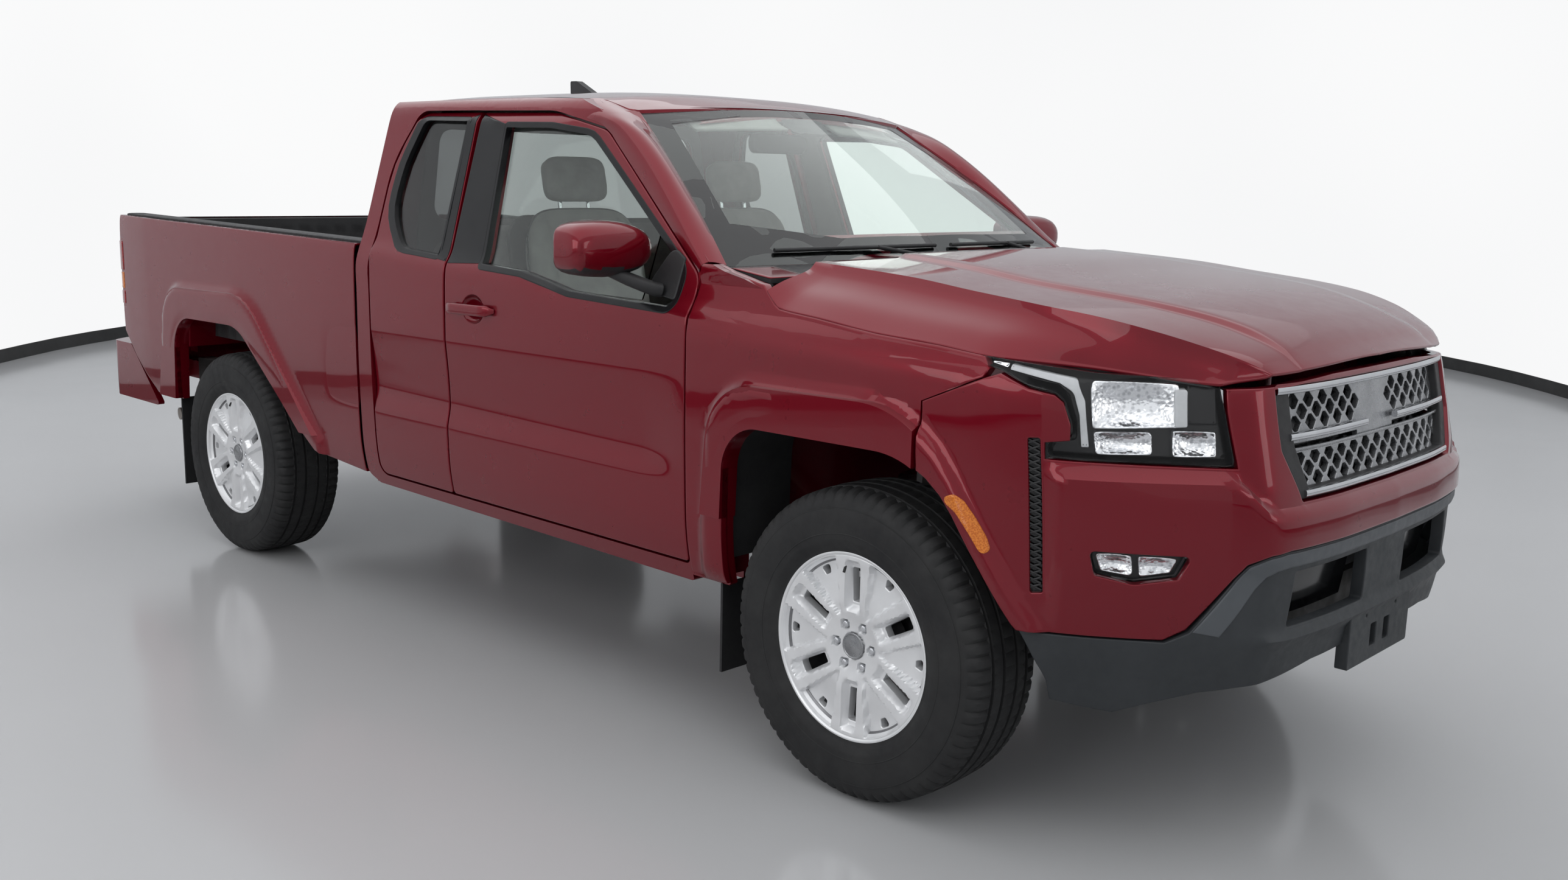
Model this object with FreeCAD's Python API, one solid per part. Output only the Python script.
import FreeCAD, Part
import math
import os

V = FreeCAD.Vector

# Pickup truck with an extended cab, in millimetres. The nose faces -Y, +Z is up, +X is the driver's side.
# Lengths called "f" are measured backwards from the front axle; z is the height above the ground.
WHEELBASE = 3200.0
FRONT_OVERHANG = 932.0
REAR_OVERHANG = 1207.0
HALF_WIDTH = 905.0
ROOF_TOP = 1784.0
FIN_TOP = 1846.0

# Wheels and tyres
TYRE_R = 395.0
TYRE_WIDTH = 265.0
RIM_R = 222.0
RIM_HALF = 110.0
STUB_R = 36.0
RUNNING = 0.05
TRACK_HALF = 785.0
KINGPIN_X = 715.0
HUB_X = 790.0

# Body gaps, thicknesses and clearances
GAP = 6.5
SEAT = 0.3
SKIN = 26.0
HOOD_THICK = 6.0
HOOD_GAP = 8.0
ROOF_THICK = 26.0
DOOR_THICK = 92.0
FRAME_THICK = 38.0
GLASS = 5.0

# Stations behind the front axle
DOOR_FRONT = 600.0
DOOR_SPLIT = 1715.0
CAB_REAR = 2240.0
BED_GAP = 16.0
BED_INNER_LENGTH = 1862.0
BED_WALL = 34.0

# Heights
SILL_BOTTOM = 428.0
DOOR_BOTTOM = 485.0
FLOOR_Z = 560.0
BED_FLOOR = 805.0
BED_RAIL = 1290.0
BED_INNER_HALF = 776.0
HOUSING_HALF = 565.0

# Ladder frame
RAIL_IN = 480.0
RAIL_WIDE = 70.0
RAIL_TALL = 120.0
FRONT_RAIL_IN = 355.0
RAIL_TOP = 540.0
KICK_UP = 150.0
TAILGATE_HALF = 700.0
BUMPER_TOP = 735.0
BALL_HOLE_R = 13.0
STEP_THICK = 20.0
PLATE_HOLE_R = 3.5
PLATE_HOLE_X = 89.0

REAR_AXLE = WHEELBASE
SPARE_F = WHEELBASE + 533
SPARE_Z = 520.0
SPARE_HANG = 656.0
BED_FRONT = CAB_REAR + BED_GAP
BED_END = BED_FRONT + BED_WALL + BED_INNER_LENGTH
POST_END = BED_END + 38
TAIL_END = WHEELBASE + REAR_OVERHANG
SHIFT = -(TAIL_END - FRONT_OVERHANG) / 2

# Form lines of the body: pairs of station (or height) and value, joined by smooth curves
PLAN_HALF = [(-480, 37), (-380, 19), (-250, 11), (0, 5), (400, 2), (600, 0), (2300, 0), (3900, 2), (4100, 8), (4300, 20)]
CREASE = [(-480, 1090), (-321, 1100), (373, 1135), (720, 1162), (1156, 1180), (1360, 1212), (1744, 1221),
          (2177, 1241), (2307, 1255), (4121, 1285), (4300, 1285)]
LOW_TUCK = [(340, 60), (428, 42), (485, 24), (600, 8), (700, 4), (900, 0), (1000, 0)]
SHOULDER = [(-120, 0), (-60, 1), (-20, 3), (0, 7), (15, 16), (30, 26), (50, 36)]
TUMBLEHOME = [(500, 0.355), (1200, 0.345), (2245, 0.29)]
RAIL_TURN = [(1670, 0), (1700, 18), (1725, 44), (1745, 82)]
NOSE = [(0, 0), (250, 5), (420, 20), (528, 42), (586, 86), (675, 177), (760, 282), (835, 402), (870, 492),
        (889, 592), (898, 762)]
NOSE_LEAN = [(340, 45), (400, 25), (545, 4), (640, 0), (740, 0), (852, 6), (930, 22), (1000, 38), (1122, 66), (1180, 90)]
HOOD_CUT = [(-868, 1127), (-830, 1122), (-767, 1109), (-530, 1129), (-305, 1148), (-200, 1158), (-22, 1167),
            (174, 1187), (260, 1194), (300, 1199), (340, 1226), (371, 1254)]
HOOD_EDGE = [(-767, 604), (-530, 725), (-305, 853), (-200, 857), (-22, 860), (174, 858), (299, 857), (340, 850), (371, 841)]
HOOD_CREASE_X = [(-830, 494), (-805, 534), (-744, 585), (-635, 655), (-512, 700), (-370, 724), (-190, 720), (0, 712), (340, 700)]
HOOD_CREASE_Z = [(-868, 1108), (-830, 1128), (-805, 1147), (-744, 1175), (-635, 1211), (-512, 1237), (-370, 1254),
                 (-190, 1271), (0, 1290), (340, 1308)]
HOOD_CROWN = [(-868, 34), (-800, 30), (-644, 20), (-400, 16), (340, 14)]
BULGE_X = [(-868, 380), (-644, 400), (-444, 462), (-208, 490), (340, 400)]
HOOD_SLOPE = [(0, 0), (0.12, 0.26), (0.7, 0.7), (1, 1)]
ROOF_EDGE_Z = [(1000, 1628), (1150, 1692), (1290, 1735), (1640, 1744), (2238, 1736)]
ROOF_MID_Z = [(1040, 1712), (1150, 1742), (1300, 1768), (1640, ROOF_TOP), (2100, ROOF_TOP - 2), (2240, 1764)]


def curve(x, points):
    """Smooth curve through the points that never overshoots them."""
    if x <= points[0][0]:
        return float(points[0][1])
    if x >= points[-1][0]:
        return float(points[-1][1])
    steps = [(b[1] - a[1]) / (b[0] - a[0]) for a, b in zip(points, points[1:])]
    slopes = [steps[0]]
    for before, after in zip(steps, steps[1:]):
        slopes.append(0.0 if before * after <= 0 else 2 * before * after / (before + after))
    slopes.append(steps[-1])
    for i, (a, b) in enumerate(zip(points, points[1:])):
        if x <= b[0]:
            h = b[0] - a[0]
            t = (x - a[0]) / h
            return (a[1] * (1 + 2 * t) * (1 - t) ** 2 + slopes[i] * h * t * (1 - t) ** 2
                    + b[1] * t * t * (3 - 2 * t) - slopes[i + 1] * h * t * t * (1 - t))


def side(f, z):
    """Half-width of the body side at station f and height z."""
    above = z - curve(f, CREASE)
    inset = curve(f, PLAN_HALF) + curve(z, LOW_TUCK) + curve(above, SHOULDER) + curve(z, RAIL_TURN)
    if above > 50:
        inset += curve(f, TUMBLEHOME) * (above - 50)
    return HALF_WIDTH - inset


def nose_point(s, z, inward=0.0):
    """Point of the front fascia: s runs from -1 (right arch) to 1 (left arch)."""
    def base(t):
        width = abs(t) * NOSE[-1][0]
        f = -FRONT_OVERHANG + 3 + curve(width, NOSE)
        x = math.copysign(width, t) * side(f, z) / (HALF_WIDTH - curve(f, PLAN_HALF))
        lean = curve(z, NOSE_LEAN) * (1 - min(1, max(0, (width - 700) / 200)))
        return V(x, f + lean, z)
    here = base(s)
    if inward == 0:
        return here
    along = base(min(s + 0.004, 1)) - base(max(s - 0.004, -1))
    normal = V(-along.y, along.x, 0)
    normal.normalize()
    return here + normal * inward


HOOD_LIP = [(0, -868), (250, -860), (494, -830), (604, -767)]
HOOD_REAR = 262.0


def hood_station(x, t):
    """Station of the hood at half-width x, t of the way from its lip to its rear edge."""
    front = curve(x, HOOD_LIP)
    return front + (HOOD_REAR + 87 * (x / 822) ** 2 - front) * t


def hood_point(s, t):
    """Point of the hood: s runs across from -1 to 1, t from the lip (0) to the cowl (1)."""
    edge = curve(hood_station(822, t), HOOD_EDGE)
    crease = 494.0
    for _ in range(40):
        crease = 0.5 * crease + 0.5 * curve(hood_station(crease, t), HOOD_CREASE_X)
    f_crease, f_edge = hood_station(crease, t), hood_station(edge, t)
    bulge = min(curve(f_crease, BULGE_X), crease - 60)
    stations = [0, 0.5 * bulge, bulge - 12, bulge + 12, (bulge + crease) / 2, crease - 10, crease]
    place = abs(s) * 10
    i = min(int(place), 9)
    if i < 6:
        x = stations[i] + (stations[i + 1] - stations[i]) * (place - i)
        f = hood_station(x, t)
        step = 9 * min(1, max(0, (bulge + 12 - x) / 24)) * min(1, max(0, (f + 868) / 150))
        z = curve(f, HOOD_CREASE_Z) + curve(f, HOOD_CROWN) * (1 - (x / crease) ** 2) + step
    else:
        share = (place - 6) / 4
        x = crease + (edge - crease) * share
        f = f_crease + (f_edge - f_crease) * share
        top = curve(f_crease, HOOD_CREASE_Z)
        z = top - (top - curve(f_edge, HOOD_CUT)) * curve(share, HOOD_SLOPE)
    return V(math.copysign(x, s), f, z)


def at(axis, u, v, w=0.0):
    """Point with in-plane coordinates u and v on the plane w of an axis."""
    if axis == "x":
        return V(w, u, v)
    if axis == "y":
        return V(u, w, v)
    return V(u, v, w)


def outline(axis, corners, w=0.0):
    """Closed wire through corners (u, v, radius), with its corners rounded by arcs."""
    n = len(corners)
    ends = []
    for i in range(n):
        p, r = corners[i][:2], corners[i][2] if len(corners[i]) > 2 else 0
        a, b = corners[i - 1][:2], corners[(i + 1) % n][:2]
        la, lb = math.dist(p, a), math.dist(p, b)
        da = ((a[0] - p[0]) / la, (a[1] - p[1]) / la)
        db = ((b[0] - p[0]) / lb, (b[1] - p[1]) / lb)
        angle = math.acos(max(-1, min(1, da[0] * db[0] + da[1] * db[1])))
        if r <= 0 or angle > math.pi - 0.01:
            ends.append((p, None, p))
            continue
        cut = min(r / math.tan(angle / 2), 0.49 * la, 0.49 * lb)
        r = cut * math.tan(angle / 2)
        mid = (da[0] + db[0], da[1] + db[1])
        size = math.hypot(*mid)
        reach = r / math.sin(angle / 2) - r
        ends.append(((p[0] + da[0] * cut, p[1] + da[1] * cut),
                     (p[0] + mid[0] / size * reach, p[1] + mid[1] / size * reach),
                     (p[0] + db[0] * cut, p[1] + db[1] * cut)))
    edges = []
    for i in range(n):
        first, mid, last = ends[i]
        if mid is not None:
            edges.append(Part.Arc(at(axis, *first, w), at(axis, *mid, w), at(axis, *last, w)).toShape())
        following = ends[(i + 1) % n][0]
        if math.dist(last, following) > 1e-6:
            edges.append(Part.makeLine(at(axis, *last, w), at(axis, *following, w)))
    return Part.Wire(edges)


def plate(axis, corners, low, high):
    """Flat plate with an outline of rounded corners, from low to high along the axis."""
    face = Part.Face(outline(axis, corners, low))
    return face.extrude(at(axis, 0, 0, high - low))


def grown(axis, corners, low, high, by):
    """The same plate with its outline moved outwards by a distance."""
    wire = outline(axis, corners, low).makeOffset2D(by)
    return Part.Face(wire).extrude(at(axis, 0, 0, high - low))


def block(x0, x1, f0, f1, z0, z1):
    return Part.makeBox(x1 - x0, f1 - f0, z1 - z0, V(x0, f0, z0))


def rod(a, b, r):
    return Part.makeCylinder(r, (b - a).Length, a, b - a)


def cone(a, b, r1, r2):
    return Part.makeCone(r1, r2, (b - a).Length, a, b - a)


def turned(points, centre, axis):
    """Solid of revolution of a closed profile of (along, radius) points about an axis of X."""
    wire = Part.makePolygon([V(u, 0, r) for u, r in points + points[:1]])
    solid = Part.Face(wire).revolve(V(0, 0, 0), V(1, 0, 0), 360)
    if axis == "z":
        solid.rotate(V(0, 0, 0), V(0, 1, 0), -90)
    return solid.translated(centre)


def skin(point, across, along):
    """Smooth face through a grid of points."""
    surface = Part.BSplineSurface()
    surface.interpolate([[point(u, v) for v in along] for u in across])
    return surface.toShape()


def thick(face, vector):
    solid = face.extrude(vector)
    if solid.Volume < 0:
        solid.reverse()
    return solid


def span(low, high, count):
    return [low + (high - low) * i / (count - 1) for i in range(count)]


def both(shape):
    return Part.makeCompound([shape, mirrored(shape)])


def mirrored(shape):
    return shape.mirror(V(0, 0, 0), V(1, 0, 0))


def fuse(shapes):
    return shapes[0].fuse(shapes[1:]).removeSplitter()


def side_slab(f0, f1, z0, z1, depth, inset=0.0, columns=12, rows=12):
    """Panel of the right body side: its outer face follows the body, its inner face lies a depth inboard."""
    face = skin(lambda f, z: V(-side(f, z) + inset, f, z), span(f0, f1, columns), span(z0, z1, rows))
    return thick(face, V(depth, 0, 0))


FRONT_DOOR = [(DOOR_FRONT, DOOR_BOTTOM, 12), (DOOR_FRONT, 1255, 60), (1130, 1640, 80), (1380, 1693, 300),
              (DOOR_SPLIT + 23, 1696, 4), (DOOR_SPLIT - 3, 1225, 4), (DOOR_SPLIT, DOOR_BOTTOM, 12)]
REAR_DOOR = [(DOOR_SPLIT + GAP, DOOR_BOTTOM, 12), (DOOR_SPLIT + GAP, 1225, 4), (DOOR_SPLIT + 45, 1697, 4),
             (2066, 1698, 60), (2160, 1530, 300), (2160, 1250, 300), (2150, DOOR_BOTTOM, 40)]
FRONT_WINDOW = [(672, 1168, 25), (1100, 1182, 80), (1330, 1224, 80), (1535, 1233, 8), (1600, 1652, 8),
                (1380, 1650, 200), (1190, 1628, 120), (662, 1270, 60)]
SAIL = [(672, 1168, 25), (806, 1179, 4), (806, 1367, 4), (662, 1270, 60)]
SIDE_GLASS = [(809, 1179, 4), (1100, 1182, 80), (1330, 1224, 80), (1535, 1233, 8), (1600, 1652, 8), (1380, 1650, 200),
              (1190, 1628, 120), (809, 1369, 4)]
REAR_WINDOW = [(1775, 1246, 8), (2000, 1258, 110), (2104, 1370, 150), (2096, 1530, 260), (2036, 1676, 40), (1800, 1672, 8)]
FRONT_ARCH = [(452, -80), (430, 498, 125), (-215, 505, 260), (-505, 60), (-505, -80)]
REAR_ARCH = [(468, -80), (430, 505, 140), (-110, 512, 220), (-430, 270, 200), (-680, 70), (-680, -80)]
FRONT_FLARE = [(560, -20), (508, 625, 190), (-200, 640, 330), (-575, 60), (-575, -20)]
REAR_FLARE = [(640, 60), (545, 645, 190), (-190, 660, 330), (-700, 150), (-700, 60)]
ARCH_Z = TYRE_R


def around(axle, corners):
    """Arch outline about an axle: distances behind it and above it become stations and heights."""
    return [(axle + c[0], ARCH_Z + c[1]) + tuple(c[2:]) for c in corners]


def flare(axle, arch, outer, bottom):
    """Raised band round a wheel arch on the right side."""
    foot = outline("x", around(axle, outer), -HALF_WIDTH + 40)
    crest = outline("x", around(axle, outer), -HALF_WIDTH - 20).makeOffset2D(-24)
    band = Part.makeLoft([foot, crest], True, True)
    band = band.cut(plate("x", around(axle, arch), -1000, -700))
    keep = block(-1000, -700, axle - 900, axle + 900, bottom, 1200)
    return band.common(keep)


def frame():
    plan = [(FRONT_RAIL_IN, -760), (FRONT_RAIL_IN, 520, 60), (RAIL_IN, 820, 60), (RAIL_IN, TAIL_END - 160),
            (RAIL_IN + RAIL_WIDE, TAIL_END - 160), (RAIL_IN + RAIL_WIDE, 820, 60),
            (FRONT_RAIL_IN + RAIL_WIDE, 520, 60), (FRONT_RAIL_IN + RAIL_WIDE, -760)]
    top = [(-760, RAIL_TOP), (REAR_AXLE - 850, RAIL_TOP, 90), (REAR_AXLE - 450, RAIL_TOP + KICK_UP, 90),
           (REAR_AXLE + 450, RAIL_TOP + KICK_UP, 90), (REAR_AXLE + 750, RAIL_TOP + 100, 90),
           (TAIL_END - 160, RAIL_TOP + 100)]
    low = [(f, z - RAIL_TALL, r[0] if r else 0) for f, z, *r in reversed(top)]
    rail = plate("z", plan, 300, 800).common(plate("x", top + low, 300, 620))
    members = [block(-FRONT_RAIL_IN - 30, FRONT_RAIL_IN + 30, -740, -670, 430, 530)]
    members.append(block(-RAIL_IN - 30, RAIL_IN + 30, 930, 1000, 365, RAIL_TOP - RAIL_TALL + 6))
    members.append(block(-RAIL_IN - 30, RAIL_IN + 30, 2100, 2160, 492, 534))
    members.append(block(-RAIL_IN - 30, RAIL_IN + 30, REAR_AXLE - 360, REAR_AXLE - 300, 620, 685))
    members.append(block(-RAIL_IN - 30, RAIL_IN + 30, SPARE_F - 33, SPARE_F + 33, SPARE_HANG, SPARE_HANG + 14))
    members.append(block(-RAIL_IN - 30, RAIL_IN + 30, TAIL_END - 250, TAIL_END - 180, 540, 630))
    pads = [block(x, x + 60, f, f + 80, RAIL_TOP - 5, FLOOR_Z - SEAT) for f in (900, 2040)
            for x in (RAIL_IN + 5, -RAIL_IN - 65)]
    return fuse([rail, mirrored(rail)] + members + pads)


def engine():
    return plate("x", [(-330, 480, 40), (-330, 900, 60), (320, 930, 60), (320, 470, 40)], -250, 250)


def driveline():
    gearbox = cone(V(0, 320 + SEAT, 510), V(0, 900, 500), 128, 80)
    shaft = rod(V(0, 890, 500), V(0, REAR_AXLE - 170, 405), 38)
    joint = rod(V(0, REAR_AXLE - 200, 405), V(0, REAR_AXLE - 140 - SEAT, 402), 55)
    return fuse([gearbox, shaft, joint])


def tube(points, r, bend):
    """Round tube along straight runs joined by arcs."""
    pts = [V(*p) for p in points]
    edges = []
    last = pts[0]
    for i in range(1, len(pts) - 1):
        a, b = (pts[i - 1] - pts[i]).normalize(), (pts[i + 1] - pts[i]).normalize()
        half = a.getAngle(b) / 2
        cut = bend / math.tan(half)
        p, q = pts[i] + a * cut, pts[i] + b * cut
        mid = pts[i] + (a + b).normalize() * (bend / math.sin(half) - bend)
        edges.append(Part.makeLine(last, p))
        edges.append(Part.Arc(p, mid, q).toShape())
        last = q
    edges.append(Part.makeLine(last, pts[-1]))
    path = Part.Wire(edges)
    ring = Part.Wire(Part.makeCircle(r, pts[0], pts[1] - pts[0]))
    return path.makePipeShell([ring], True, False)


def exhaust():
    front = tube([(-250 - SEAT, 160, 640), (-300, 160, 640), (-300, 430, 480), (-300, 1120, 480), (-330, 1320, 400)], 26, 44)
    box = plate("y", [(-425, 340, 60), (-235, 340, 60), (-235, 455, 60), (-425, 455, 60)], 1300, 1880)
    rear = tube([(-360, 1860, 400), (-360, 2450, 460), (-330, 2950, 548), (-330, 3200, 548), (-437, 3440, 530),
                 (-437, 3760, 520), (-470, 3870, 458), (-800, 3905, 450)], 26, 60)
    return fuse([front, box, rear])


def fuel_tank():
    tank = plate("y", [(150, 335, 50), (455, 335, 50), (455, 530, 40), (150, 500, 40)], 1250, 2060)
    straps = [block(440, RAIL_IN - SEAT, f, f + 40, 440, 500) for f in (1400, 1860)]
    return fuse([tank] + straps)


def tyre_profile():
    half, bead, r = TYRE_WIDTH / 2, RIM_HALF, TYRE_R
    return [(-bead, RIM_R + 6), (-bead, RIM_R + 24), (-half + 5, RIM_R + 48), (-half, RIM_R + 95), (-half + 10, r - 34),
            (-half + 30, r - 8), (-half + 60, r), (half - 60, r), (half - 30, r - 8), (half - 10, r - 34),
            (half, RIM_R + 95), (half - 5, RIM_R + 48), (bead, RIM_R + 24), (bead, RIM_R + 6)]


def barrel_profile():
    """Rim section between and over the beads of the tyre."""
    bead = RIM_HALF + SEAT
    outer = [(-bead - 8, RIM_R + 3), (-bead - 8, RIM_R + 18), (-bead, RIM_R + 19), (-bead, RIM_R + 6 - SEAT),
             (bead, RIM_R + 6 - SEAT), (bead, RIM_R + 19), (bead + 8, RIM_R + 17), (bead + 8, RIM_R + 4)]
    return outer + [(bead - 14, RIM_R - 8), (bead - 40, RIM_R - 14), (-bead + 20, RIM_R - 10)]


def wheel_centre(front, left):
    return V(TRACK_HALF if left else -TRACK_HALF, 0 if front else REAR_AXLE, TYRE_R)


def tyre(front, left):
    return turned(tyre_profile(), wheel_centre(front, left), "x")


def rim(front, left):
    """Alloy wheel: barrel, hub and six pairs of spokes, with the brake disc on its hub."""
    face = RIM_HALF + 4
    barrel = turned(barrel_profile(), V(0, 0, 0), "x")
    seat = HUB_X - TRACK_HALF + SEAT
    hub = turned([(seat, STUB_R), (seat, 74), (face - 30, 66), (face - 14, 50), (face - 12, 0), (face - 26, 0),
                  (face - 26, STUB_R)], V(0, 0, 0), "x")
    spokes = []
    for k in range(6):
        for lean in (-1, 1):
            spoke = plate("y", [(face - 16, 40, 3), (face - 3, RIM_R - 6, 3), (face - 28, RIM_R - 4, 3), (face - 46, 50, 3)],
                          -11, 11)
            spoke.translate(V(0, lean * 19, 0))
            spoke.rotate(V(0, 0, 0), V(1, 0, 0), lean * 3.5 + 60 * k)
            spokes.append(spoke)
    disc = turned([(seat - 48, 70), (seat - 48, 160), (seat - 24, 160), (seat - 24, 82), (seat + 2, 82), (seat + 2, 70),
                   (seat - 24, 70)], V(0, 0, 0), "x")
    wheel = fuse([barrel, hub, disc] + spokes)
    if not left:
        wheel = mirrored(wheel)
    return wheel.translated(wheel_centre(front, left))


def spare_wheel():
    """Spare wheel under the bed, hung from its crossmember."""
    centre = V(0, SPARE_F, SPARE_Z)
    rubber = turned([(u, min(v, TYRE_R - 10)) for u, v in tyre_profile()], centre, "z")
    disc = turned(barrel_profile(), centre, "z")
    plate_ = rod(centre + V(0, 0, -14), centre + V(0, 0, 2), RIM_R - 6)
    hanger = rod(centre, V(0, SPARE_F, SPARE_HANG - SEAT), 30)
    return Part.makeCompound([rubber, fuse([disc, plate_, hanger])])


def rear_axle():
    """Solid axle with its differential bulge, pinion nose, wheel stubs and spring pads."""
    z, stub = TYRE_R, STUB_R - RUNNING
    bulge = [(-130, 42), (-94, 94), (-50, 128), (0, 138), (50, 128), (94, 94), (130, 42)]
    right = [(-HUB_X - 24, 0), (-HUB_X - 24, stub), (-HUB_X, stub), (-HUB_X, 62), (-HUB_X + 60, 62), (-HUB_X + 60, 42)]
    beam = turned(right + bulge + [(-u, r) for u, r in reversed(right)], V(0, REAR_AXLE, z), "x")
    nose = cone(V(0, REAR_AXLE - 140, 402), V(0, REAR_AXLE - 20, 396), 60, 100)
    pads = [block(x, x + 60, REAR_AXLE - 55, REAR_AXLE + 55, z + 20, z + 60 - SEAT) for x in (RAIL_IN + 84, -RAIL_IN - 144)]
    return fuse([beam, nose] + pads)


def rear_suspension():
    """Leaf spring packs outside the rails, and the dampers."""
    eye_z, seat_z = 560, TYRE_R + 60
    pieces = []
    x0, x1 = RAIL_IN + 84, RAIL_IN + 144
    for k, reach in enumerate((640, 430, 260)):
        share = reach / 640
        low = seat_z + 12 * k
        rise = (eye_z - seat_z - 14) * share ** 2
        arc = [V(x0, REAR_AXLE - reach, low + rise), V(x0, REAR_AXLE, low), V(x0, REAR_AXLE + reach, low + rise)]
        under = Part.Arc(*arc).toShape()
        over = Part.Arc(*[p + V(0, 0, 14.2) for p in arc]).toShape()
        ends = [Part.makeLine(arc[0], arc[0] + V(0, 0, 14.2)), Part.makeLine(arc[2], arc[2] + V(0, 0, 14.2))]
        leaf = Part.Face(Part.Wire(Part.__sortEdges__([under, over] + ends))).extrude(V(x1 - x0, 0, 0))
        pieces.append(leaf)
    for f in (REAR_AXLE - 640, REAR_AXLE + 640):
        pieces.append(rod(V(RAIL_IN + RAIL_WIDE + SEAT, f, eye_z), V(x1 + 4, f, eye_z), 24))
    pieces.append(block(x0 - 6, x1 + 6, REAR_AXLE - 60, REAR_AXLE + 60, seat_z + 30, seat_z + 58))
    pack = fuse(pieces)
    damper = fuse([rod(V(440, REAR_AXLE - 62, 470), V(455, REAR_AXLE - 190, 660), 24),
                   rod(V(455, REAR_AXLE - 180, 650), V(RAIL_IN - SEAT, REAR_AXLE - 180, 650), 16)])
    return Part.makeCompound([pack, mirrored(pack), damper, mirrored(damper)])


def front_suspension():
    """Lower and upper arms, spring struts and the steering rack."""
    sides = []
    ball = V(KINGPIN_X, 0, 262 - SEAT)
    lower = plate("z", [(FRONT_RAIL_IN + 40, -170, 20), (FRONT_RAIL_IN + 90, -170, 20), (590, -62, 80), (KINGPIN_X + 22, -24, 20),
                        (KINGPIN_X + 22, 24, 20), (590, 62, 80), (FRONT_RAIL_IN + 90, 170, 20), (FRONT_RAIL_IN + 40, 170, 20),
                        (FRONT_RAIL_IN + 80, 70, 40), (FRONT_RAIL_IN + 80, -70, 40)], 232, 262 - SEAT)
    mounts = [block(FRONT_RAIL_IN + 5, FRONT_RAIL_IN + 65, f - 30, f + 30, 240, RAIL_TOP - RAIL_TALL - SEAT) for f in (-150, 150)]
    seat = rod(V(560, 0, 255), V(560, 0, 300), 50)
    spring = rod(V(560, 0, 290), V(530, 0, 760), 52)
    tower = rod(V(531, 0, 740), V(528, 0, 800), 66)
    bracket = block(FRONT_RAIL_IN + RAIL_WIDE + SEAT, 560, -60, 60, 745, 800)
    leg = block(FRONT_RAIL_IN + RAIL_WIDE + SEAT, FRONT_RAIL_IN + RAIL_WIDE + 14, -60, 60, RAIL_TOP - 80, 800)
    upper = plate("z", [(FRONT_RAIL_IN + RAIL_WIDE + SEAT, -90, 10), (KINGPIN_X + 20, -20, 18), (KINGPIN_X + 20, 20, 18),
                        (FRONT_RAIL_IN + RAIL_WIDE + SEAT, 90, 10)], 560 + SEAT, 582)
    arm = fuse([lower] + mounts + [seat, spring, tower, bracket, leg, upper])
    rack = rod(V(-FRONT_RAIL_IN - 60, 214, 350), V(FRONT_RAIL_IN + 60, 214, 350), 26)
    hangers = [block(x - 18, x + 18, 196, 232, 350, RAIL_TOP - RAIL_TALL - SEAT) for x in (-390, 390)]
    return Part.makeCompound([arm, mirrored(arm), fuse([rack] + hangers)])


def knuckle(left):
    body = block(KINGPIN_X - 26, KINGPIN_X + 18, -34, 34, 262, 560)
    spindle = rod(V(KINGPIN_X, 0, TYRE_R), V(HUB_X + 24, 0, TYRE_R), STUB_R - RUNNING)
    caliper = Part.makeBox(34, 70, 130, V(KINGPIN_X - 24, 70, TYRE_R - 20))
    link = block(KINGPIN_X - 22, KINGPIN_X + 10, 0, 100, TYRE_R - 10, TYRE_R + 40)
    lever = block(KINGPIN_X - 24, KINGPIN_X + 6, 0, 120, 300, 325)
    pivots = [rod(V(KINGPIN_X, 0, z), V(KINGPIN_X, 0, z + 30), 21) for z in (262, 530)]
    solid = fuse([body, spindle, caliper, link, lever] + pivots)
    return solid if left else mirrored(solid)


def glass_point(s, t, out=0.0):
    """Windscreen surface: s across from -1 to 1, t up from its base (0) to the roof (1)."""
    x = s * (800 + (600 - 800) * t)
    base = 400 + 154 * s * s
    top = 1066 + 72 * s * s
    z0, z1 = 1292 - 10 * s * s, 1724 - 28 * s * s
    bow = 14 * math.sin(math.pi * t)
    f = base + (top - base) * t
    z = z0 + (z1 - z0) * t
    return V(x, f - 0.54 * (bow + out), z + 0.84 * (bow + out))


def windscreen():
    face = skin(lambda s, t: glass_point(s, t, 0), span(-1, 1, 11), span(0, 1, 6))
    return thick(face, V(0, 0.54 * GLASS, -0.84 * GLASS))


def windscreen_seat():
    """Space in front of the windscreen's seat, cut from the pillars, roof and cowl."""
    face = skin(lambda s, t: glass_point(s * 1.006, -0.012 + 1.024 * t, -GLASS - SEAT), span(-1, 1, 11), span(0, 1, 6))
    return thick(face, V(0, -0.54 * 260, 0.84 * 260))


def pillar_trim():
    """Space in front of the windscreen's plane, carried out past its edges to trim the pillars."""
    face = skin(lambda s, t: glass_point(s * 1.25, -0.06 + 1.1 * t, 6), span(-1, 1, 13), span(0, 1, 6))
    return thick(face, V(0, -0.54 * 260, 0.84 * 260))


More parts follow.
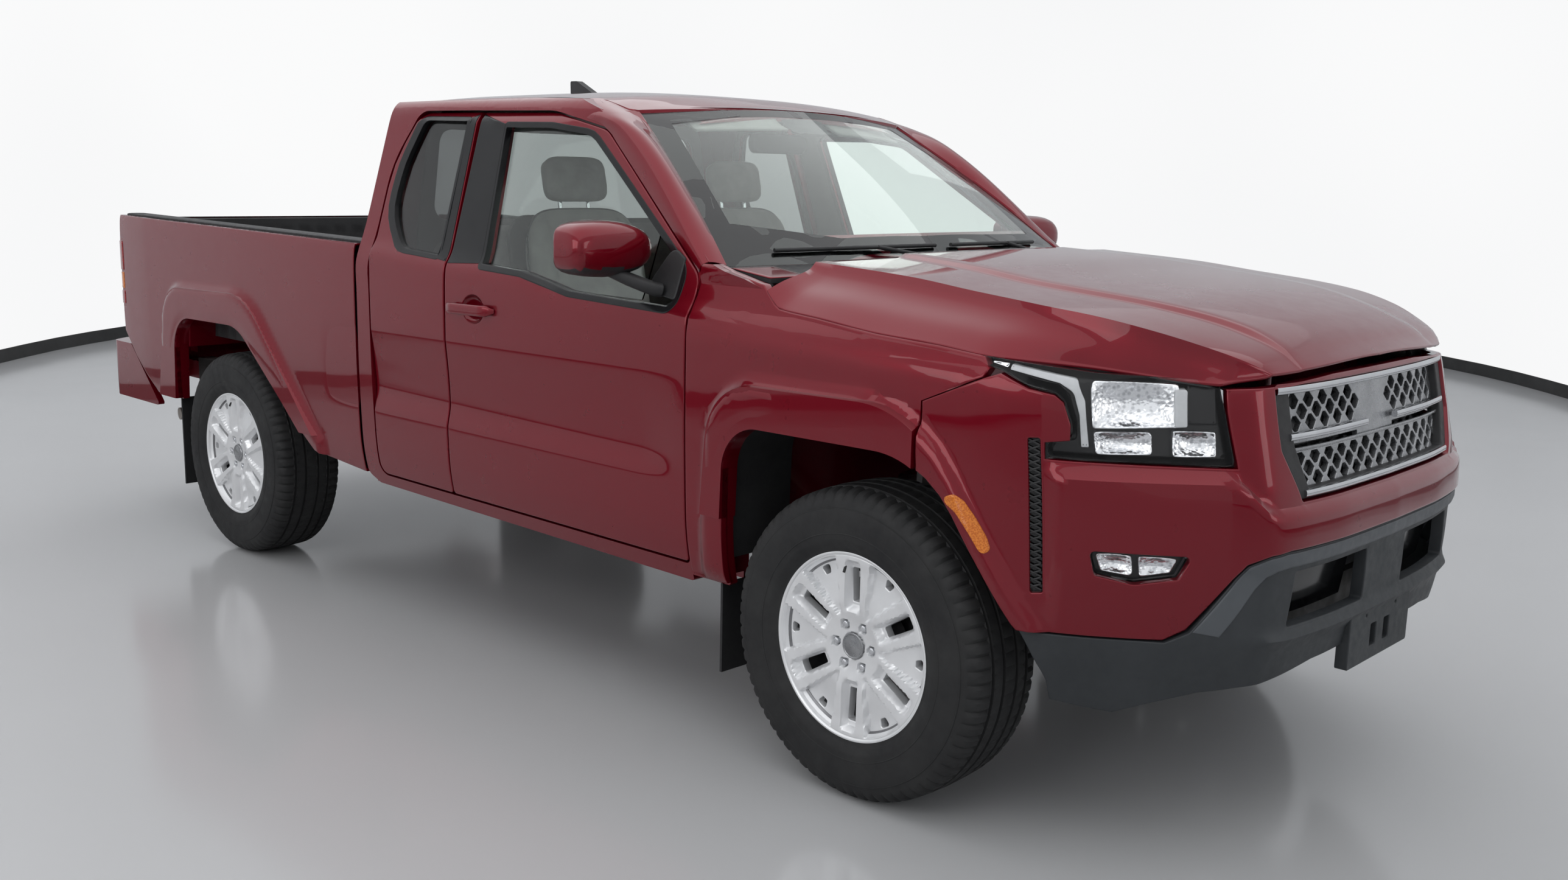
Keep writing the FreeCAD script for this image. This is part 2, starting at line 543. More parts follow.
def cab():
    columns, rows = span(500, CAB_REAR, 12), span(SILL_BOTTOM, 1744, 18)
    face = skin(lambda f, z: V(-side(f, z), f, z), columns, rows)
    ring = thick(face, V(62, 0, 0))
    shape = [(DOOR_FRONT - GAP, SILL_BOTTOM, 10), (DOOR_FRONT - GAP, 1297), (530, 1297), (985, 1640),
             (1150, curve(1150, ROOF_EDGE_Z)), (1290, curve(1290, ROOF_EDGE_Z)), (1640, curve(1640, ROOF_EDGE_Z)),
             (CAB_REAR, curve(2238, ROOF_EDGE_Z)), (CAB_REAR, 470, 30), (CAB_REAR - 60, SILL_BOTTOM + 14, 10)]
    ring = ring.common(plate("x", shape, -1000, -500))
    ring = ring.cut(grown("x", FRONT_DOOR, -1000, -500, GAP)).cut(grown("x", REAR_DOOR, -1000, -500, GAP))
    ring = ring.cut(plate("x", [(DOOR_SPLIT - 12, DOOR_BOTTOM - GAP), (DOOR_SPLIT - 12, 1225), (DOOR_SPLIT + 10, 1696 + GAP),
                                (DOOR_SPLIT + 58, 1697 + GAP), (DOOR_SPLIT + 20, 1225), (DOOR_SPLIT + 20, DOOR_BOTTOM - GAP)],
                          -1000, -500))
    kick = block(-768, -748, 500, CAB_REAR - 10, SILL_BOTTOM + 10, FLOOR_Z + 30)
    rocker = block(-850, -758, DOOR_FRONT - GAP, CAB_REAR - 10, SILL_BOTTOM + 10, DOOR_BOTTOM - GAP)
    pillar = block(-836, -758, 500, DOOR_FRONT - GAP, SILL_BOTTOM + 30, 1130)
    stub = block(-800, -758, 558, DOOR_FRONT - GAP, 1120, 1345)
    quarter = block(-800, -740, CAB_REAR - 60, CAB_REAR - 5, 500, 1300)
    half = [ring, kick, rocker, pillar, stub, quarter]
    roof = roof_slab(ROOF_THICK)
    floor = block(-770, 770, 500, CAB_REAR - 5, FLOOR_Z, FLOOR_Z + 24)
    tunnel = plate("y", [(-165, FLOOR_Z, 0), (-150, 665, 40), (150, 665, 40), (165, FLOOR_Z, 0)], 480, CAB_REAR - 5)
    hollow = plate("y", [(-150, FLOOR_Z - 5, 0), (-136, 650, 30), (136, 650, 30), (150, FLOOR_Z - 5, 0)], 470, CAB_REAR + 5)
    firewall = block(-760, 760, 480, 506, FLOOR_Z, 1240)
    shelf = plate("z", [(-785, 480), (-785, 650), (-560, 566), (0, 506), (560, 566), (785, 650), (785, 480)], 1222, 1248)
    riser_face = skin(lambda s, z: V(s * 800, 484 + 154 * s * s, z), span(-0.96, 0.96, 9), span(1240, 1400, 3))
    riser = thick(riser_face, V(0, 20, 0))
    rest_face = skin(lambda s, t: glass_point(s, t, -GLASS - SEAT), span(-0.97, 0.97, 9), span(0.012, 0.13, 3))
    rest = thick(rest_face, V(0, 0.54 * 12, -0.84 * 12))
    heights = span(FLOOR_Z, curve(2238, ROOF_EDGE_Z) - 4, 14)
    right = [V(-side(CAB_REAR, z) + 3, CAB_REAR - 36, z) for z in heights]
    lids = [roof_point(s, CAB_REAR) - V(0, 0, 4) for s in span(-1, 1, 9)]
    curves = []
    for points in (right, [V(p.x, CAB_REAR - 36, p.z) for p in lids], [V(-p.x, p.y, p.z) for p in right]):
        line = Part.BSplineCurve()
        line.interpolate(points)
        curves.append(line)
    a, b, c = curves
    edges = [a.toShape(), Part.makeLine(a.EndPoint, b.StartPoint), b.toShape(), Part.makeLine(b.EndPoint, c.EndPoint),
             c.toShape(), Part.makeLine(a.StartPoint, c.StartPoint)]
    wall = Part.Face(Part.Wire(Part.__sortEdges__(edges))).extrude(V(0, 34, 0))
    wall = wall.cut(plate("y", REAR_GLASS, CAB_REAR - 100, CAB_REAR + 50))
    shell = fuse(half + [mirrored(h) for h in half] + [roof, floor, tunnel, firewall, shelf, riser, rest, wall])
    return shell.cut(hollow).cut(windscreen_seat()).cut(pillar_trim())


REAR_GLASS = [(-640, 1330, 60), (640, 1330, 60), (600, 1660, 60), (-600, 1660, 60)]


def roof_point(s, f):
    edge = curve(f, ROOF_EDGE_Z)
    x = s * side(f, edge)
    z = edge + (curve(f, ROOF_MID_Z) - edge) * (1 - abs(s) ** 2.4)
    return V(x, f, z)


def roof_slab(depth):
    return thick(skin(roof_point, span(-1, 1, 13), span(1040, CAB_REAR, 16)), V(0, 0, -depth))


def rear_glass():
    wire = outline("y", REAR_GLASS, CAB_REAR - 22).makeOffset2D(-SEAT)
    return Part.Face(wire).extrude(V(0, GLASS, 0))


def door(corners, window, f0, f1, bevel, leaf_f, leaf_x):
    """Right door: thick below the belt, a frame round its window above it, and two hinge leaves on its hinged edge."""
    columns, rows = span(f0, f1, 9), span(DOOR_BOTTOM - 10, 1720, 18)
    face = skin(lambda f, z: V(-side(f, z), f, z), columns, rows)
    lower = thick(face, V(DOOR_THICK, 0, 0)).common(block(-1000, -500, f0, f1, 400, 1185))
    upper = thick(face, V(FRAME_THICK, 0, 0)).common(block(-1000, -500, f0, f1, 1180, 1760))
    solid = lower.fuse(upper).common(plate("x", corners, -1000, -500))
    solid = solid.cut(plate("x", window, -1000, -500)).cut(bevel)
    reach = grown("x", corners, leaf_x, leaf_x + 20, GAP - SEAT)
    leaves = [reach.common(block(-1000, -500, leaf_f - 16, leaf_f + 16, z, z + 80)) for z in (560, 980)]
    return fuse([solid] + leaves)


def wedge(f, direction):
    """Sloping cut on a door's free edge, which lets it swing past its neighbour."""
    pts = [V(-HALF_WIDTH + 10, f, 300), V(-HALF_WIDTH + 140, f - direction * 21, 300), V(-HALF_WIDTH + 140, f + direction * 30, 300),
           V(-HALF_WIDTH + 10, f + direction * 30, 300)]
    return Part.Face(Part.makePolygon(pts + pts[:1])).extrude(V(0, 0, 900))


def handle():
    """Pull handle on the front door."""
    grip = plate("x", [(1392, 1068, 14), (1392, 1098, 14), (1600, 1110, 14), (1600, 1080, 14)], -HALF_WIDTH - 30, -HALF_WIDTH - 16)
    posts = [block(-HALF_WIDTH - 20, -HALF_WIDTH + 10, f, f + 30, 1076, 1100) for f in (1405, 1560)]
    return fuse([grip] + posts)


def front_door():
    body = door(FRONT_DOOR, FRONT_WINDOW, DOOR_FRONT - 10, DOOR_SPLIT + 40, wedge(DOOR_SPLIT, 1), DOOR_FRONT, -835.5)
    return fuse([body, handle()])


def rear_door():
    return door(REAR_DOOR, REAR_WINDOW, DOOR_SPLIT - 10, 2175, wedge(DOOR_SPLIT + GAP, -1), 2152, -866)


def pane(window, f0, f1, inset, depth):
    """Sheet of a depth, set in from the body side, inside a window's outline."""
    face = skin(lambda f, z: V(-side(f, z) + inset, f, z), span(f0, f1, 8), span(1140, 1710, 10))
    wire = outline("x", window, -1000).makeOffset2D(-SEAT)
    return thick(face, V(depth, 0, 0)).common(Part.Face(wire).extrude(V(500, 0, 0)))


def mirror_unit():
    """Right door mirror: sail in the window's corner, arm and rounded housing."""
    sail = pane(SAIL, 640, 830, 6, 16)
    arm = plate("y", [(-1000, 1235, 10), (-1000, 1275, 10), (-848, 1262, 6), (-848, 1205, 6)], 730, 790)
    rings = []
    for share, size in ((0, 0.55), (0.12, 0.86), (0.5, 1.0), (0.86, 0.86), (1, 0.5)):
        x = -925 - 190 * share
        f = 790 + 105 * share
        deep, tall = 62 * size, 72 * size
        rings.append(outline("x", [(f - deep, 1318 - tall * 0.8, 30 * size), (f - deep * 0.8, 1318 + tall * 0.8, 40 * size),
                                   (f + deep * 0.9, 1318 + tall, 20 * size), (f + deep * 0.9, 1318 - tall, 20 * size)], x))
    cap = Part.makeLoft(rings, True, False)
    return fuse([sail, arm, cap])


SEAM = [(-345, 1098), (-188, 1028), (-188, 400)]


def fender():
    """Right front fender, ending at the bumper's seam, the lamp, the hood, the windscreen's corner and the door."""
    slab = side_slab(-420, DOOR_FRONT - GAP, 400, 1300, SKIN, columns=11, rows=16)
    top = [(f, curve(f, HOOD_CUT) - HOOD_THICK - HOOD_GAP) for f in (-330, -200, -22, 174, 260, 300, 340, 371)]
    shape = [(DOOR_FRONT - GAP, SILL_BOTTOM + 20), (DOOR_FRONT - GAP, 1291, 10), (552, 1291, 0), (500, 1276), (430, 1261)]
    shape += list(reversed(top)) + [(-352, 1118)] + [(f + 2, z) for f, z in SEAM[:2]]
    shape += [(SEAM[1][0] + 2, 900), (300, 600), (452, SILL_BOTTOM + 20)]
    panel = slab.common(plate("x", shape, -1000, -700)).cut(plate("x", around(0, FRONT_ARCH), -1000, -700))
    band = flare(0, FRONT_ARCH, FRONT_FLARE, 640)
    band = band.common(plate("x", [(SEAM[1][0] + 2, 600), (SEAM[1][0] + 2, 1026), (-300, 1080), (-300, 1100), (700, 1100),
                                   (700, 600)], -1000, -700))
    return fuse([panel, band]).cut(hood_rebate(8, 30)).cut(lamp_prism(0))


def hood_rebate(width, drop):
    """Space under the hood's edge: inboard of the body side by a width, from a drop under the shut line."""
    stations = [-420, -305, -200, -22, 174, 260, 299, 340, 371, 410]
    plan = [(-side(f, curve(f, HOOD_CUT)) + width, f) for f in stations]
    plan = [(-600, stations[0])] + plan + [(-600, stations[-1])]
    line = [(f, curve(f, HOOD_CUT) - drop) for f in stations]
    up = [(stations[-1], 1400), (stations[0], 1400)]
    return plate("z", plan, 1000, 1400).common(plate("x", line + up, -1000, -500))


def hood():
    """Hood panel; its grid lines lie on the creases."""
    return thick(skin(hood_point, span(-1, 1, 21), [u ** 1.5 for u in span(0, 1, 20)]), V(0, 0, -HOOD_THICK))


def fascia(inset, depth, z0, z1):
    """Solid band that follows the nose, a depth thick, its outer face an inset behind the body."""
    places = span(-1, 1, 33)
    wires = []
    count = max(2, int((z1 - z0) / 75) + 1)
    for z in span(z0, z1, count):
        outer, inner = Part.BSplineCurve(), Part.BSplineCurve()
        outer.interpolate([nose_point(s, z, inset) for s in places])
        inner.interpolate([nose_point(s, z, inset + depth) for s in places])
        a, b, c, d = outer.StartPoint, outer.EndPoint, inner.StartPoint, inner.EndPoint
        wires.append(Part.Wire([outer.toShape(), Part.makeLine(b, d), inner.toShape(), Part.makeLine(c, a)]))
    return Part.makeLoft(wires, True, False)


LAMP = [(-853, -305, 1134), (-795, -420, 1126), (-725, -530, 1115), (-604, -767, 1095), (-596, -813, 929), (-844, -504, 943), (-838, -520, 990),
        (-826, -530, 1050), (-838, -505, 1075), (-868, -465, 1088), (-856, -360, 1116)]
LAMP_OUT = V(-0.74, -0.67, 0)


def lamp_prism(clear):
    """Space of the right headlamp, swept along its outward direction and shrunk by a clearance."""
    out = V(LAMP_OUT)
    out.normalize()
    flat = []
    for p in LAMP:
        point = V(*p)
        flat.append(point - out * point.dot(out) - out * (-300.0))
    wire = Part.makePolygon(flat + flat[:1])
    if clear:
        wire = wire.makeOffset2D(-clear)
    return Part.Face(wire).extrude(out * 900)


VALANCE = [(-950, 545), (-690, 545, 40), (-590, 722, 60), (-528, 745, 30), (528, 745, 30), (590, 722, 60), (690, 545, 40),
           (950, 545), (950, 300), (-950, 300)]
GRILLE = [(-492, 1099, 10), (492, 1099, 10), (492, 960, 20), (440, 848, 10), (-440, 848, 10), (-492, 960, 20)]
FOG = [(-800, 668, 10), (-800, 740, 10), (-664, 736, 10), (-690, 684, 10)]
VENT = [(-868, 640, 6), (-852, 640, 6), (-846, 980, 6), (-862, 980, 6)]


def nose_clear():
    """Space kept free for the wheels, lamps, grille and hood in the front body panels."""
    arch = plate("x", around(0, FRONT_ARCH), -1000, 1000)
    lid = plate("y", [(-1000, 1105), (-604, 1080), (-494, 1099), (-250, 1112), (250, 1112), (494, 1099), (604, 1080), (1000, 1105),
                      (1000, 1250), (-1000, 1250)], -1000, 0)
    return [arch, lid]


def front_bumper():
    """Body-colour cover from arch to arch, round the lamps and the grille."""
    cover = fascia(0, SKIN, 480, 1150)
    for space in nose_clear() + [lamp_prism(0), mirrored(lamp_prism(0)), plate("y", GRILLE, -1000, -500)]:
        cover = cover.cut(space)
    seam = plate("x", [(-347, 1200)] + [(f - 2, z) for f, z in SEAM] + [(0, 400), (0, 1200)], -1000, 1000)
    cover = cover.cut(grown("y", VALANCE, -1000, 0, SEAT)).cut(seam)
    for shape in (plate("y", FOG, -1000, -400), plate("x", [(-480, 640, 8), (-480, 978, 8), (-512, 978, 8), (-528, 640, 8)], -1000, -700)):
        cover = cover.cut(shape).cut(mirrored(shape))
    band = flare(0, FRONT_ARCH, FRONT_FLARE, 545 + 4)
    band = band.common(plate("x", [(-700, 500), (-700, 1100), (-347, 1097)] + [(f - 2, z) for f, z in SEAM[1:]], -1000, -840))
    return fuse([cover, band, mirrored(band)])


def bumper_valance():
    """Dark lower cover with its intakes and the plate bracket."""
    cover = fascia(0, SKIN + 10, 345, 760).common(plate("y", VALANCE, -1000, 0))
    cover = cover.cut(plate("x", around(0, FRONT_ARCH), -1000, 1000))
    wheel_side = plate("x", [(-505, 300), (-452, 545 - 4), (-380, 545 - 4), (-100, 300)], -1000, 1000)
    cover = cover.cut(wheel_side)
    for sign in (-1, 1):
        cover = cover.cut(plate("y", [(sign * 454, 691, 8), (sign * 250, 691, 8), (sign * 250, 566, 8), (sign * 474, 566, 8)], -1000, -700))
    cover = cover.cut(plate("y", [(-210, 695, 8), (210, 695, 8), (210, 575, 8), (-210, 575, 8)], -1000, -700))
    bracket = block(-185, 185, -FRONT_OVERHANG, -FRONT_OVERHANG + 40, 400, 536)
    for x in (-105, 105):
        bracket = bracket.cut(plate("y", [(x - 8, 435, 7.9), (x + 8, 435, 7.9), (x + 8, 505, 7.9), (x - 8, 505, 7.9)], -1000, -800))
    holes = [rod(V(x, -1000, 520), V(x, -850, 520), PLATE_HOLE_R) for x in (-PLATE_HOLE_X, PLATE_HOLE_X)]
    return fuse([cover, bracket]).cut(holes)


def grille():
    """Frame, bars and lattice of the grille, set back in its opening."""
    inner = outline("y", GRILLE, -1000).makeOffset2D(-SEAT)
    space = Part.Face(inner).extrude(V(0, 400, 0))
    band = fascia(14, 22, 840, 1120).common(space)
    holes = []
    for row in range(6):
        z = 1065 - row * 38
        for column in range(-7, 8):
            x = column * 58 + (29 if row % 2 else 0)
            if abs(x) < 425 and not 965 < z < 1000:
                holes.append(plate("y", [(x - 24, z, 0), (x - 12, z + 15, 0), (x + 12, z + 15, 0), (x + 24, z, 0), (x + 12, z - 15, 0),
                                         (x - 12, z - 15, 0)], -1000, -700))
    return band.cut(holes)


def headlamps():
    body = fascia(3, 70, 900, 1160).common(lamp_prism(0.8))
    return both(body)


def fog_lamps():
    wire = outline("y", FOG, -1000).makeOffset2D(-SEAT)
    body = fascia(8, 40, 650, 760).common(Part.Face(wire).extrude(V(0, 600, 0)))
    return both(body)


def radiator():
    """Radiator and its upper tie bar behind the grille."""
    core = block(-340, 340, -760, -700, 560, 1040)
    bar = block(-480, 480, -775, -735, 1040, 1070)
    posts = [block(s * 390 - 25, s * 390 + 25, -745, -690, RAIL_TOP + SEAT, 1052) for s in (-1, 1)]
    ties = block(-420, 420, -740, -720, 600, 640)
    return fuse([core, bar, ties] + posts)


def cowl():
    """Black cowl panel between hood and windscreen, with the wipers."""
    face = skin(lambda s, t: V(s * 803, 285 + 101 * s * s + (114.4 + 53 * s * s) * t, 1274 - 12 * s * s + (18 + 2 * s * s) * t),
                span(-1, 1, 9), span(0, 1, 3))
    panel = thick(face, V(0, 0, -11))
    arms = []
    for pivot, tip in ((-30, -640), (590, 20)):
        foot = glass_point(pivot / 790, -0.03, 4)
        reach = glass_point((pivot + 0.45 * (tip - pivot)) / 790, 0.055, 16)
        arms.append(rod(V(pivot, foot.y - 8, foot.z - 30), V(pivot, foot.y - 8, foot.z + 12), 13))
        arms.append(rod(V(pivot, foot.y - 8, foot.z + 4), reach, 6))
        blade = [glass_point(x / 790, 0.067, 9) for x in span(pivot - 0.04 * (pivot - tip), tip, 8)]
        arms += [rod(p, q, 6) for p, q in zip(blade, blade[1:])]
        arms.append(rod(reach, (blade[3] + blade[4]) * 0.5, 5))
    return fuse([panel] + arms)


def arch_liners():
    """Inner linings of the front wheel arches."""
    outer = plate("x", around(0, [(470, -60), (452, 520, 140), (-230, 530, 270), (-520, 60), (-520, -60)]), -870, -640)
    inner = plate("x", around(0, [(464, -70), (446, 514, 134), (-226, 524, 264), (-514, 55), (-514, -70)]), -880, -630)
    liner = outer.cut(inner).common(block(-1000, -600, -700, 468, 520, 950))
    edge = -HALF_WIDTH + 40 + SEAT
    plan = [(-640, -560), (-640, 480), (edge, 480), (edge, -150), (-842, -230), (-796, -440), (-745, -560)]
    liner = liner.common(plate("z", plan, 400, 1000)).common(side_slab(-700, 490, 440, 980, 300, SKIN + SEAT))
    return both(liner)


BED_LOW = [(REAR_AXLE + 546, 556, 10), (REAR_AXLE + 686, 553, 30), (REAR_AXLE + 941, 748, 60), (POST_END, 790, 20)]


def bed():
    """Load bed: outer sides, inner walls, floor, wheel housings, front wall and rear posts."""
    skin_side = side_slab(BED_FRONT, POST_END, 440, 1290, 24, columns=14, rows=16)
    shape = [(BED_FRONT, 470, 10), (BED_FRONT, 1262, 6), (POST_END, 1287, 6)] + list(reversed(BED_LOW))
    shape += [(REAR_AXLE, 556), (REAR_AXLE - 600, 495)]
    outer = skin_side.common(plate("x", shape, -1000, -700)).cut(plate("x", around(REAR_AXLE, REAR_ARCH), -1000, -700))
    band = flare(REAR_AXLE, REAR_ARCH, REAR_FLARE, 560)
    rail = plate("x", [(BED_FRONT, 1225), (BED_FRONT, 1257), (POST_END, 1281), (POST_END, 1225)], -866, -BED_INNER_HALF)
    wall = block(-BED_INNER_HALF - 16, -BED_INNER_HALF, BED_FRONT, BED_END - 4, BED_FLOOR - 30, 1240)
    post = block(-866, -TAILGATE_HALF - 6, BED_END - 10, POST_END, 760, 1240)
    cap = block(-866, -TAILGATE_HALF - 6, BED_END - 10, POST_END, 1230, 1279)
    nearer = block(-872, -BED_INNER_HALF - 8, BED_FRONT, BED_FRONT + 30, 560, 1240)
    housing = plate("x", [(REAR_AXLE - 420, BED_FLOOR - 30, 0), (REAR_AXLE - 400, 960, 120), (REAR_AXLE + 400, 960, 120),
                          (REAR_AXLE + 420, BED_FLOOR - 30, 0)], -872, -HOUSING_HALF)
    hollow = plate("x", [(REAR_AXLE - 412, BED_FLOOR - 60, 0), (REAR_AXLE - 392, 952, 112), (REAR_AXLE + 392, 952, 112),
                         (REAR_AXLE + 412, BED_FLOOR - 60, 0)], -872, -HOUSING_HALF - 8)
    half = [outer, band, rail, wall, post, cap, nearer, housing]
    floor = block(-BED_INNER_HALF - 10, BED_INNER_HALF + 10, BED_FRONT, BED_END - 4, BED_FLOOR - 30, BED_FLOOR)
    front = block(-BED_INNER_HALF - 10, BED_INNER_HALF + 10, BED_FRONT, BED_FRONT + BED_WALL, BED_FLOOR - 30, 1256)
    sills = [block(-640, 640, f, f + 70, RAIL_TOP + KICK_UP + SEAT, BED_FLOOR - 28)
             for f in (BED_FRONT + 90, REAR_AXLE - 420, BED_END - 100)]
    tub = fuse(half + [mirrored(h) for h in half] + [floor, front] + sills)
    return tub.cut(hollow).cut(mirrored(hollow))


def bed_liner():
    """Ribbed liner on the bed floor."""
    end = BED_END - 12
    low = BED_FLOOR + SEAT
    sheet = block(-HOUSING_HALF + 6, HOUSING_HALF - 6, BED_FRONT + BED_WALL + 4, end, low, low + 5)
    ribs = [block(x - 18, x + 18, BED_FRONT + BED_WALL + 40, end - 30, low + 4, low + 12) for x in range(-500, 501, 100)]
    wings = []
    for s in (-1, 1):
        x0, x1 = sorted((s * (HOUSING_HALF - 10), s * (BED_INNER_HALF - 6)))
        wings.append(block(x0, x1, BED_FRONT + BED_WALL + 4, REAR_AXLE - 430, low, low + 5))
        wings.append(block(x0, x1, REAR_AXLE + 430, end, low, low + 5))
    return fuse([sheet] + ribs + wings)


def rail_caps():
    """Thin black caps on the bed rails."""
    low, high = 1257 + SEAT, 1281 + SEAT
    side_view = [(BED_FRONT + 4, low), (BED_FRONT + 4, low + 9), (POST_END - 4, high + 9), (POST_END - 4, high)]
    return both(plate("x", side_view, -857, -BED_INNER_HALF + 4))


TAIL_HINGE_F = BED_END + 28
TAIL_HINGE_Z = 815.0


def tailgate():
    """Tailgate with its handle recess and the pins that it turns on."""
    f0 = BED_END + 8
    half = TAILGATE_HALF
    slab = plate("x", [(f0, 800, 6), (f0, 1268, 10), (f0 + 56, 1278, 12), (f0 + 52, 1190, 40), (f0 + 56, 800, 8)], -half, half)
    grip = plate("y", [(-110, 1130, 12), (110, 1130, 12), (110, 1190, 12), (-110, 1190, 12)], f0 + 36, f0 + 80)
    pin = rod(V(-half - 6 + SEAT, TAIL_HINGE_F, TAIL_HINGE_Z), V(half + 6 - SEAT, TAIL_HINGE_F, TAIL_HINGE_Z), 9)
    return fuse([slab.cut(grip), pin])


def tail_lamps():
    """Lamps on the bed's rear posts, wrapped round to the sides."""
    body = plate("z", [(-888, POST_END + SEAT, 3), (-884, POST_END + 26, 22), (-TAILGATE_HALF - 12, POST_END + 34, 8),
                       (-TAILGATE_HALF - 12, POST_END + SEAT, 3)], 906, 1185)
    return both(body)


def rear_bumper():
    """Step bumper with body-colour corners that run forward under the bed's sides."""
    low = 495
    side_view = [(REAR_AXLE + 700, low, 10), (REAR_AXLE + 960, BUMPER_TOP, 30), (TAIL_END, BUMPER_TOP, 12),
                 (TAIL_END, 560, 60), (TAIL_END - 90, low, 30)]
    plan = [(-884, REAR_AXLE + 690, 20), (-884, TAIL_END - 70, 60), (-790, TAIL_END, 80), (790, TAIL_END, 80), (884, TAIL_END - 70, 60),
            (884, REAR_AXLE + 690, 20), (858, REAR_AXLE + 690), (858, POST_END + 20, 30), (-858, POST_END + 20, 30), (-858, REAR_AXLE + 690)]
    shell = plate("z", plan, low, BUMPER_TOP).common(plate("x", side_view, -1000, 1000))
    step = plate("y", [(-420, BUMPER_TOP - 40, 20), (420, BUMPER_TOP - 40, 20), (450, BUMPER_TOP + 10), (-450, BUMPER_TOP + 10)],
                 TAIL_END - 130, TAIL_END + 10)
    ball = rod(V(0, TAIL_END - 60, low - 10), V(0, TAIL_END - 60, BUMPER_TOP + 10), BALL_HOLE_R)
    inner = block(-820, 820, POST_END, TAIL_END - 30, low - 10, BUMPER_TOP - 40 - STEP_THICK)
    arms = [block(x, x + 60, TAIL_END - 160 + SEAT, TAIL_END - 25, 540, 620) for x in (-RAIL_IN - 65, RAIL_IN + 5)]
    return fuse([shell.cut(step).cut(inner)] + arms).cut(ball)


def mud_flaps():
    """Flaps behind the four wheels, hung from the lower edges of the body."""
    front = block(-872, -700, 474, 482, 200, SILL_BOTTOM + 20 - SEAT)
    rear = block(-884, -700, REAR_AXLE + 486, REAR_AXLE + 494, 190, 556 - SEAT)
    return both(Part.makeCompound([front, rear]))


def antenna():
    """Shark-fin antenna on the roof."""
    fin = plate("x", [(2040, ROOF_TOP - 30), (2040, ROOF_TOP - 1), (2170, FIN_TOP, 14), (2206, FIN_TOP, 6), (2204, ROOF_TOP - 30)],
                -14, 14)
    return fin.cut(roof_slab(60).translated(V(0, 0, SEAT)))


def dashboard():
    """Dashboard with its binnacle and steering column, and the console between the seats."""
    body = plate("x", [(520, 900, 20), (520, 1190, 20), (700, 1215, 50), (860, 1150, 40), (840, 960, 30), (760, 880, 30)], -758 + SEAT, 758 - SEAT)
    console = plate("x", [(700, 665 + SEAT, 10), (820, 885, 60), (1500, 850, 40), (1500, 665 + SEAT, 10)], -96, 96)
    binnacle = plate("x", [(780, 1140, 10), (800, 1245, 30), (900, 1225, 30), (890, 1120, 10)], 200, 540)
    centre, lean = V(SEAT_X, WHEEL_F, WHEEL_Z), math.radians(WHEEL_LEAN)
    along = V(0, math.sin(lean), math.cos(lean))
    column = rod(centre - along * 210, centre - along * (12 + SEAT), 34)
    return fuse([body, console, binnacle, column])


SEAT_X = 375.0
WHEEL_F = 1010.0
WHEEL_Z = 1060.0
WHEEL_LEAN = 68.5


def steering_wheel():
    ring = Part.makeTorus(180, 15)
    hub = Part.makeCylinder(58, 34, V(0, 0, -12))
    spokes = [Part.makeBox(150, 34, 14, V(25, -17, -8))]
    spokes.append(spokes[0].rotated(V(0, 0, 0), V(0, 0, 1), 180))
    spokes.append(spokes[0].rotated(V(0, 0, 0), V(0, 0, 1), -90))
    wheel = fuse([ring, hub] + spokes)
    wheel.rotate(V(0, 0, 0), V(1, 0, 0), -WHEEL_LEAN)
    return wheel.translated(V(SEAT_X, WHEEL_F, WHEEL_Z))


def seat(x):
    """Front seat: cushion, backrest and headrest."""
    cushion = plate("x", [(1120, 730, 60), (1120, 840, 50), (1560, 800, 40), (1560, 700, 40)], x - 255, x + 255)
    back = plate("x", [(1500, 790, 40), (1655, 1390, 60), (1790, 1390, 60), (1640, 720, 40)], x - 245, x + 245)
    rest = plate("x", [(1668, 1412, 40), (1690, 1560, 50), (1790, 1570, 50), (1785, 1412, 40)], x - 130, x + 130)
    posts = [rod(V(x + s * 60, 1730, 1370), V(x + s * 60, 1735, 1430), 7) for s in (-1, 1)]
    base = block(x - 200, x + 200, 1170, 1540, FLOOR_Z + 24 + SEAT, 760)
    return fuse([cushion, back, rest, base] + posts)


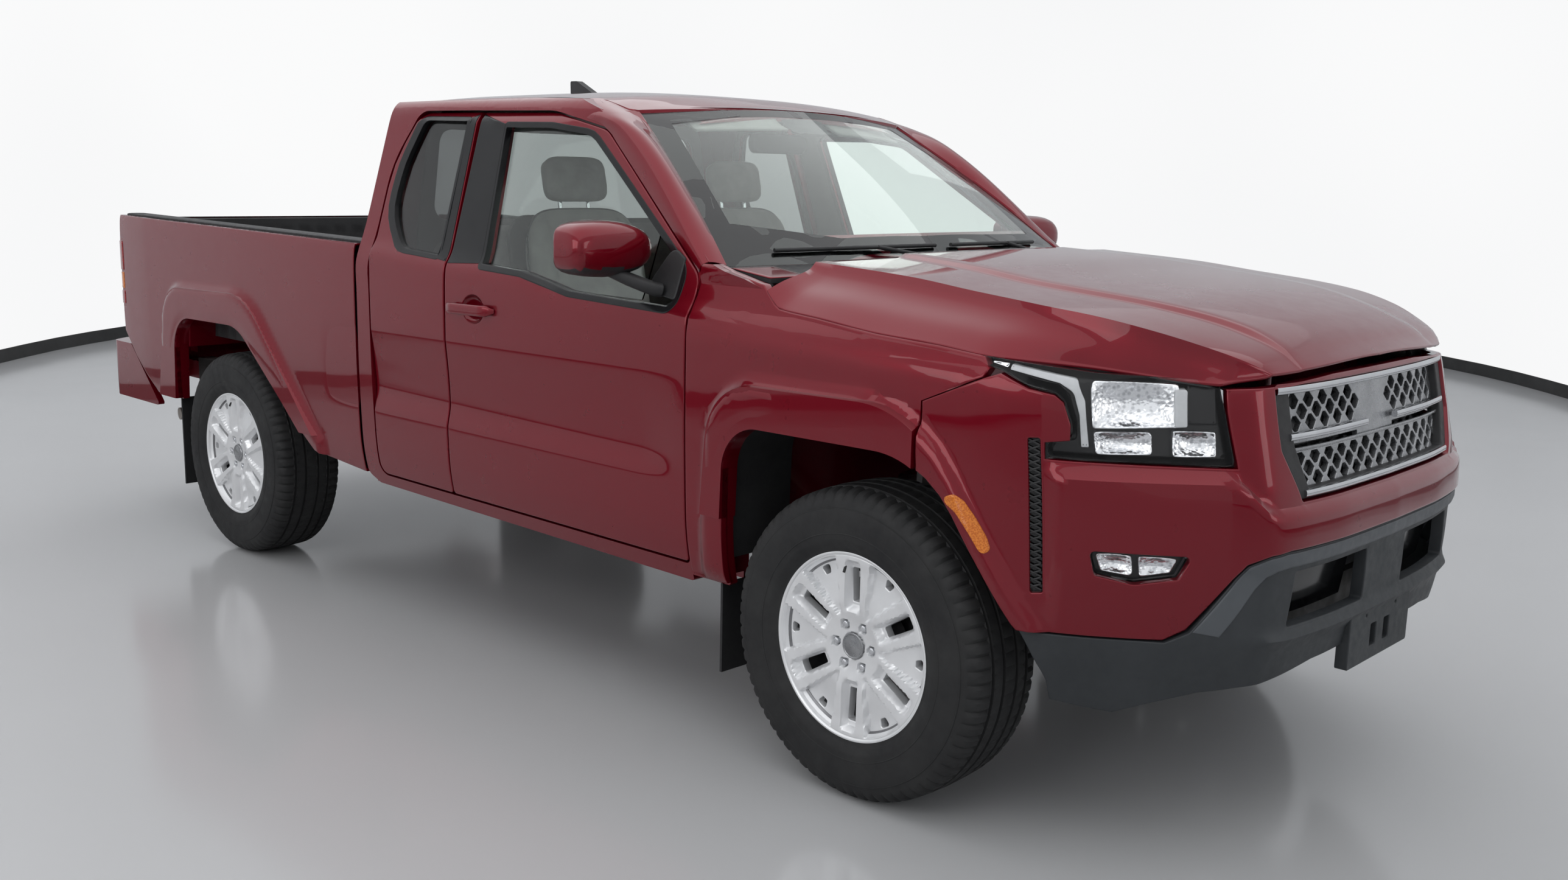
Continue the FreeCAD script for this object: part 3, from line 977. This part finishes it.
def rear_seat():
    cushion = plate("x", [(1900, 700, 40), (1900, 800, 40), (2150, 790, 30), (2150, 700, 20)], -700, 700)
    back = plate("x", [(2080, 780, 40), (2110, 1330, 40), (2180, 1330, 30), (2180, 720, 20)], -700, 700)
    base = block(-690, -180, 1950, 2140, FLOOR_Z + 24 + SEAT, 705)
    return fuse([cushion, back, base, mirrored(base)])


def save(name, shape):
    moved = shape.copy()
    moved.translate(V(0, SHIFT, 0))
    moved.exportStep("parts/" + name + ".step")
    solids = moved.Solids
    state = "ok" if moved.isValid() and all(s.Volume > 0 for s in solids) else "BAD"
    print(name, len(solids), state, round(moved.Volume / 1e6, 2))


def main():
    os.makedirs("parts", exist_ok=True)
    save("frame", frame())
    save("engine", engine())
    save("driveline", driveline())
    save("exhaust", exhaust())
    save("fuel_tank", fuel_tank())
    save("spare_wheel", spare_wheel())
    save("rear_axle", rear_axle())
    save("rear_suspension", rear_suspension())
    save("front_suspension", front_suspension())
    for word, left in (("left", True), ("right", False)):
        save("knuckle_" + word, knuckle(left))
        for place, front in (("front", True), ("rear", False)):
            save("tyre_" + place + "_" + word, tyre(front, left))
            save("rim_" + place + "_" + word, rim(front, left))
    save("cab", cab())
    save("windscreen", windscreen())
    save("rear_glass", rear_glass())
    pieces = {"door_front": front_door(), "door_rear": rear_door(), "mirror": mirror_unit(),
              "glass_front": pane(SIDE_GLASS, 640, 1640, 14, GLASS), "glass_rear": pane(REAR_WINDOW, 1740, 2150, 14, GLASS)}
    for name, shape in pieces.items():
        save(name + "_right", shape)
        save(name + "_left", mirrored(shape))
    save("front_fenders", both(fender()))
    save("hood", hood())
    save("front_bumper", front_bumper())
    save("bumper_valance", bumper_valance())
    save("grille", grille())
    save("headlamps", Part.makeCompound([headlamps(), fog_lamps()]))
    save("radiator", radiator())
    save("cowl", cowl())
    save("arch_liners", arch_liners())
    save("bed", bed())
    save("bed_liner", Part.makeCompound([bed_liner(), rail_caps()]))
    save("tailgate", tailgate())
    save("tail_lamps", tail_lamps())
    save("rear_bumper", rear_bumper())
    save("mud_flaps", mud_flaps())
    save("antenna", antenna())
    save("dashboard", dashboard())
    save("steering_wheel", steering_wheel())
    save("seats", Part.makeCompound([seat(SEAT_X), seat(-SEAT_X), rear_seat()]))


main()
